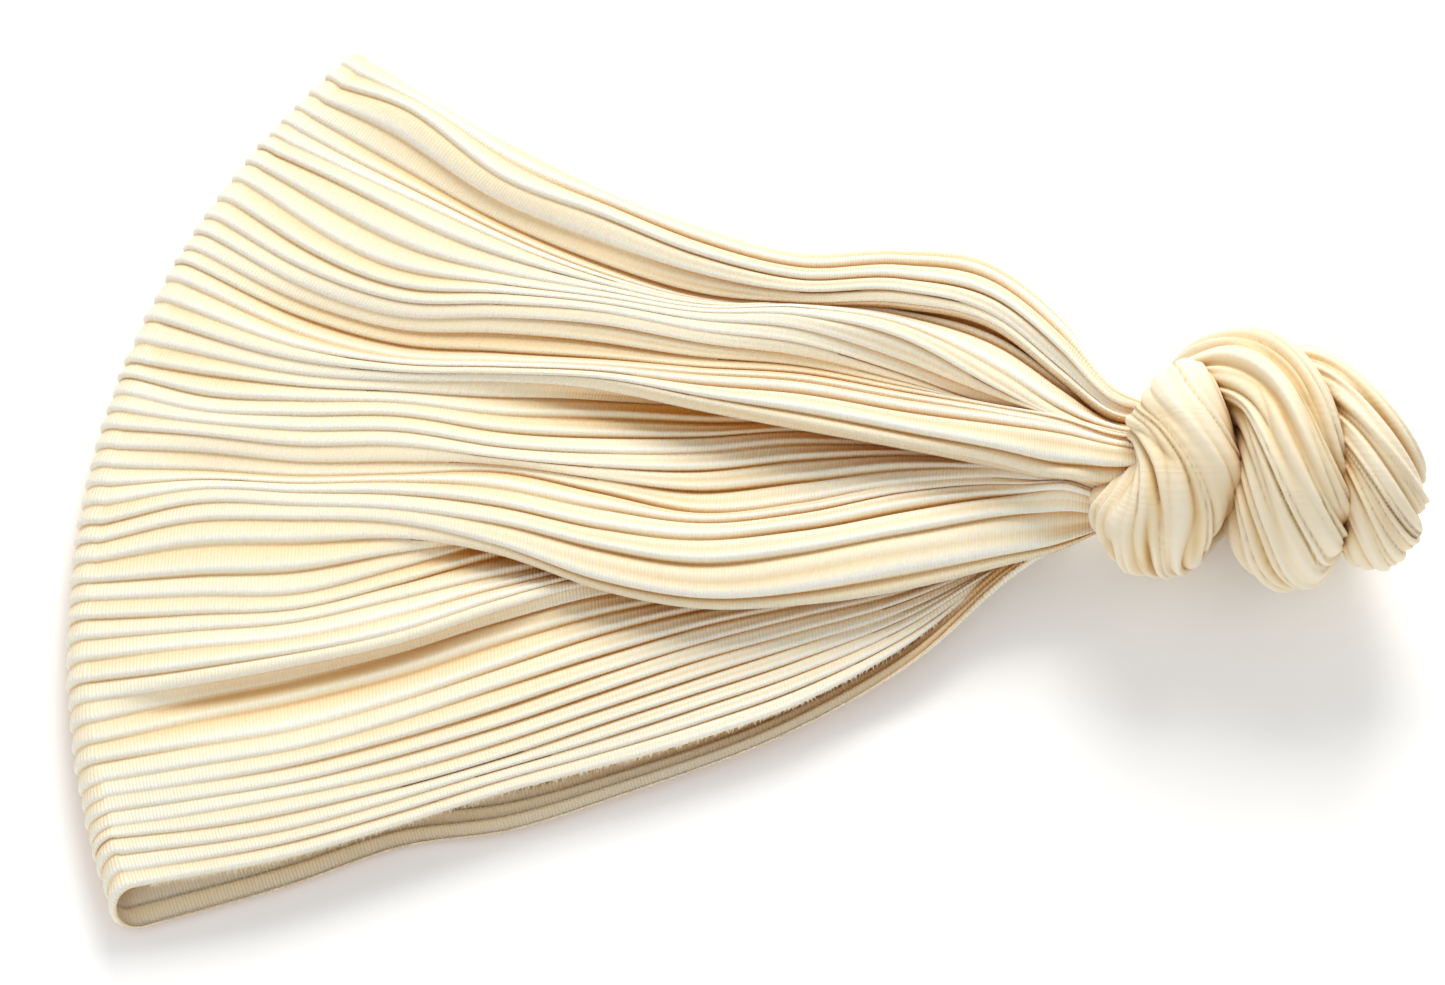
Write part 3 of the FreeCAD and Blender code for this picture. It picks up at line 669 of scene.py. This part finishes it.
# Each crease: degrees round the strand, the turns where it starts and ends, and its depth in mm.
FRONT_CREASES = [(20, -60, 100, 0.7), (335, -20, 110, 0.6), (60, 20, 120, 0.6), (75, 320, 470, 1.5),
                 (130, 320, 480, 1.2), (20, 330, 480, 0.9)]
BACK_CREASES = [(20, -90, 150, 1.9), (330, -60, 140, 1.6), (290, -80, 120, 1.4), (70, -30, 160, 1.2)]
points, painted_shade = strand_surface(STRAND_FRONT, 300, RIDGE_DEPTH, FRONT_CREASES, 0.9, 31)
strand_front = tube_piece("knot_front_strand", points, painted_shade, RING_ACROSS)
points, painted_shade = strand_surface(STRAND_BACK, 280, RIDGE_DEPTH * 1.15, BACK_CREASES, 0.0, 47)
strand_back = tube_piece("knot_back_strand", points, painted_shade, RING_ACROSS)
print("strands:", len(strand_front.data.polygons), "and", len(strand_back.data.polygons), "faces")

# %% [markdown]
# ## Materials
# Satin is a weave whose long floats lie side by side, so it shines along one direction and shows fine
# cross ribs where the pleats bend it. Light that goes through two or three layers comes out warm; the
# colour paints this as amber shade in the hollows, and leaves the crests nearly white.


# %% Colour and node helpers
def linear(hex_colour):
    """An sRGB hex colour as linear RGBA."""
    parts = [int(hex_colour[i:i + 2], 16) / 255 for i in (0, 2, 4)]
    return (*[c / 12.92 if c <= 0.04045 else ((c + 0.055) / 1.055) ** 2.4 for c in parts], 1.0)


def add_node(tree, kind, links=None, **settings):
    """Adds a node, sets its properties and inputs by name, and links its inputs."""
    node = tree.nodes.new(kind)
    for name, value in settings.items():
        if hasattr(node, name):
            setattr(node, name, value)
        else:
            node.inputs[name.replace("_", " ")].default_value = value
    for name, source in (links or {}).items():
        tree.links.new(source, node.inputs[name])
    return node


def new_material(name):
    """A node material: the material, its node tree and its main shader."""
    material = bpy.data.materials.new(name)
    material.use_nodes = True
    tree = material.node_tree
    shader = tree.nodes["Principled BSDF"]
    return material, tree, shader


# %% [markdown]
# The satin's colour holds painted shade: the deeper a point lies, the darker and more amber it is painted.
# The shade attribute gives this for the pleats, and ambient occlusion adds it for the large folds. Slow
# noise varies the tone, and a bump draws the weave.


# %% Pleated satin
RIB_SPACING = 0.62  # mm, coarser than real satin's, so that it shows
WAVE_SCALE = math.tau / RIB_SPACING / 20  # a wave texture at scale 1 repeats every tau / 20


def satin(name, crest, flank, valley, deep, rib_strength):
    """Heat-set polyester satin: from its crest colour, painted shade darkens through flanks and valleys to
    deep hollows.
    """
    material, tree, shader = new_material(name)
    uv = add_node(tree, "ShaderNodeUVMap", uv_map="cloth_mm").outputs["UV"]
    # Painted shade: the shade attribute and ambient occlusion together pick the colour from the ramp.
    painted_shade = add_node(tree, "ShaderNodeAttribute", attribute_name="painted_shade").outputs["Fac"]
    near = add_node(tree, "ShaderNodeAmbientOcclusion", samples=3, Distance=0.010).outputs["AO"]
    closed = add_node(tree, "ShaderNodeMapRange", {"Value": near}, From_Min=0.5, From_Max=0.08,
                      To_Min=0.0, To_Max=1.0)
    depth = add_node(tree, "ShaderNodeMath", {0: painted_shade, 1: closed.outputs["Result"]},
                     operation="ADD", use_clamp=True)
    ramp_node = add_node(tree, "ShaderNodeValToRGB", {"Fac": depth.outputs["Value"]})
    stops = ramp_node.color_ramp.elements
    stops[0].position, stops[0].color = 0.0, linear(crest)
    stops[1].position, stops[1].color = 1.0, linear(deep)
    for position, colour in ((0.3, flank), (0.62, valley)):
        stops.new(position).color = linear(colour)
    # slow colour change over the cloth
    cloud = add_node(tree, "ShaderNodeTexNoise", {"Vector": uv}, Scale=0.035, Detail=3.0)
    tone = add_node(tree, "ShaderNodeMapRange", {"Value": cloud.outputs["Fac"]}, To_Min=0.94,
                    To_Max=1.05)
    tinted = add_node(tree, "ShaderNodeVectorMath",
                      {0: ramp_node.outputs["Color"], 1: tone.outputs["Result"]}, operation="MULTIPLY")
    tree.links.new(tinted.outputs["Vector"], shader.inputs["Base Color"])
    # cross ribs of the weave, with a little thread unevenness
    ribs = add_node(tree, "ShaderNodeTexWave", {"Vector": uv}, bands_direction="Y", Scale=WAVE_SCALE,
                    Distortion=1.2, Detail=2.0, Detail_Scale=1.5)
    grain = add_node(tree, "ShaderNodeTexNoise", {"Vector": uv}, Scale=2.6, Detail=3.0)
    height = add_node(tree, "ShaderNodeMath", {0: ribs.outputs["Fac"], 1: grain.outputs["Fac"]},
                      operation="ADD")
    relief = add_node(tree, "ShaderNodeBump", {"Height": height.outputs["Value"]},
                      Strength=rib_strength, Distance=0.00018)
    tree.links.new(relief.outputs["Normal"], shader.inputs["Normal"])
    shader.inputs["Roughness"].default_value = 0.48
    shader.inputs["Specular IOR Level"].default_value = 0.32
    shader.inputs["Sheen Weight"].default_value = 0.12
    shader.inputs["Sheen Roughness"].default_value = 0.4
    shader.inputs["Anisotropic"].default_value = 0.4
    shader.inputs["Subsurface Weight"].default_value = 0.4
    shader.inputs["Subsurface Radius"].default_value = (0.003, 0.0023, 0.0014)
    return material


pleated_satin = satin("ivory_polyester_satin", "FFFBF0", "FCF0D8", "F6DFB4", "D0902A", 0.6)
# The knot is the same satin; its copy is painted a little darker and greyer as shade, and has weaker ribs.
knot_satin = satin("ivory_polyester_satin_knot", "F7ECD5", "F1E0BE", "E6CB99", "BE8A42", 0.22)
print("satins:", pleated_satin.name, knot_satin.name)

# %% [markdown]
# The sewing thread is two plies twisted together, so a slanting wave colours it and lifts it. The
# loose filaments are finer than any pattern, and only vary in tone.


# %% Thread and filaments
def thread_material():
    """Spun polyester sewing thread: matt, with a twist of two plies."""
    material, tree, shader = new_material("spun_polyester_thread")
    where = add_node(tree, "ShaderNodeTexCoord").outputs["Object"]
    twist = add_node(tree, "ShaderNodeTexWave", {"Vector": where}, bands_direction="DIAGONAL", Scale=180.0)
    colour = add_node(tree, "ShaderNodeMix", {"Factor": twist.outputs["Fac"]}, data_type="RGBA")
    colour.inputs[6].default_value = linear("E9DCC0")
    colour.inputs[7].default_value = linear("F7EEDB")
    relief = add_node(tree, "ShaderNodeBump", {"Height": twist.outputs["Fac"]}, Strength=0.5,
                      Distance=0.0001)
    tree.links.new(colour.outputs[2], shader.inputs["Base Color"])
    tree.links.new(relief.outputs["Normal"], shader.inputs["Normal"])
    shader.inputs["Roughness"].default_value = 0.7
    return material


def filament_material():
    """Loose polyester filaments: near white, and glossy along their length."""
    material, tree, shader = new_material("loose_polyester_filament")
    where = add_node(tree, "ShaderNodeTexCoord").outputs["Object"]
    patches = add_node(tree, "ShaderNodeTexNoise", {"Vector": where}, Scale=300.0)
    colour = add_node(tree, "ShaderNodeMix", {"Factor": patches.outputs["Fac"]}, data_type="RGBA")
    colour.inputs[6].default_value = linear("FBEFD2")
    colour.inputs[7].default_value = linear("FFFDF4")
    tree.links.new(colour.outputs[2], shader.inputs["Base Color"])
    shader.inputs["Roughness"].default_value = 0.4
    return material


spun_thread = thread_material()
filament = filament_material()
print("threads:", spun_thread.name, filament.name)

# %% [markdown]
# Each piece now gets its material, and the cloth gets its thickness. The hidden stitches keep the CAD
# model's own shapes.

# %% Give each piece its finish
for piece in (band_nape, band_front, band_back, band_back_neck):
    piece.data.materials.append(pleated_satin)
    wall = piece.modifiers.new("cloth_thickness", "SOLIDIFY")
    wall.thickness = 0.35 * MM
    wall.offset = 0
for piece in (fray_front, fray_upper, fray_back):
    piece.data.materials.append(filament)
for piece in (strand_front, strand_back):
    piece.data.materials.append(knot_satin)
for node in ("neck_binding_thread", "knot_tack_stitches", "tip_closing_stitches"):
    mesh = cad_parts[node].data
    mesh.materials.clear()
    mesh.materials.append(spun_thread)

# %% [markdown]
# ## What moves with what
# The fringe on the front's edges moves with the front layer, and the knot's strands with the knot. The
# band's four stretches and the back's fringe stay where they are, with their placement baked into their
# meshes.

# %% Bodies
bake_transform(band_nape)
for piece in (band_front, band_back_neck):
    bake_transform(piece)
for piece in (band_back, fray_back):
    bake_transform(piece)
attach(fray_front, "front_layer")
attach(fray_upper, "front_layer")
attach(strand_front, "knot")
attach(strand_back, "knot")
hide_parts("nape_fold", "back_layer_panel")
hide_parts("front_layer_panel", "gathered_neck")
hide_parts("knot_strand_front")
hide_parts("knot_strand_back")
for piece in (band_nape, band_front, band_back, band_back_neck):
    print(piece.name, "has", round(sum(p.area for p in piece.data.polygons), 5), "m2 of cloth")

# %% [markdown]
# ## Floor, light and camera
# A pale table under a big soft light from the far side, and a white surround. The camera looks
# steeply down, so that the pleats show from above and the knot shows its height.

# %% Stage
floor_mesh = bpy.data.meshes.new("table")
bm = bmesh.new()
bmesh.ops.create_grid(bm, x_segments=1, y_segments=1, size=3.0)
bm.to_mesh(floor_mesh)
bm.free()
table = bpy.data.objects.new("table", floor_mesh)
bpy.context.scene.collection.objects.link(table)
table_finish, table_tree, table_shader = new_material("matt_white_board")
table_shader.inputs["Base Color"].default_value = linear("FFFFFF")
table_shader.inputs["Roughness"].default_value = 0.9
table_shader.inputs["Emission Color"].default_value = linear("FFFFFF")
table_shader.inputs["Emission Strength"].default_value = 0.06
table.data.materials.append(table_finish)


def area_light(name, place, size, watts, colour="FFFFFF"):
    """A square soft light that faces the object."""
    data = bpy.data.lights.new(name, "AREA")
    data.size, data.energy, data.color = size, watts, linear(colour)[:3]
    lamp = bpy.data.objects.new(name, data)
    lamp.location = place
    lamp.rotation_euler = (-Vector(place)).to_track_quat("-Z", "Y").to_euler()
    bpy.context.scene.collection.objects.link(lamp)
    return lamp


area_light("soft_key", (0.12, 0.85, 0.75), 0.6, 11.0, "FFFDF8")
area_light("soft_fill", (-0.3, -0.9, 0.8), 0.9, 3.0)
world = bpy.data.worlds.new("white_surround")
bpy.context.scene.world = world
world.use_nodes = True
world.node_tree.nodes["Background"].inputs["Color"].default_value = (1.0, 1.0, 1.0, 1.0)
world.node_tree.nodes["Background"].inputs["Strength"].default_value = 0.55
bpy.context.scene.view_settings.view_transform = "Standard"

camera_data = bpy.data.cameras.new("camera")
camera = bpy.data.objects.new("camera", camera_data)
bpy.context.scene.collection.objects.link(camera)
ELEVATION = math.radians(68.0)
FRAME_WIDTH = 0.262  # metres across the view at the table
camera_data.lens, camera_data.sensor_width = 320.0, 36.0
distance = FRAME_WIDTH * camera_data.lens / camera_data.sensor_width
target = Vector((-0.0037, 0.0008, 0.0))
back_off = Vector((0, -math.cos(ELEVATION), math.sin(ELEVATION)))
camera.location = target + back_off * distance
camera.rotation_euler = (-back_off).to_track_quat("-Z", "Y").to_euler()
bpy.context.scene.camera = camera

print("camera", round(distance, 2), "m from the headband")
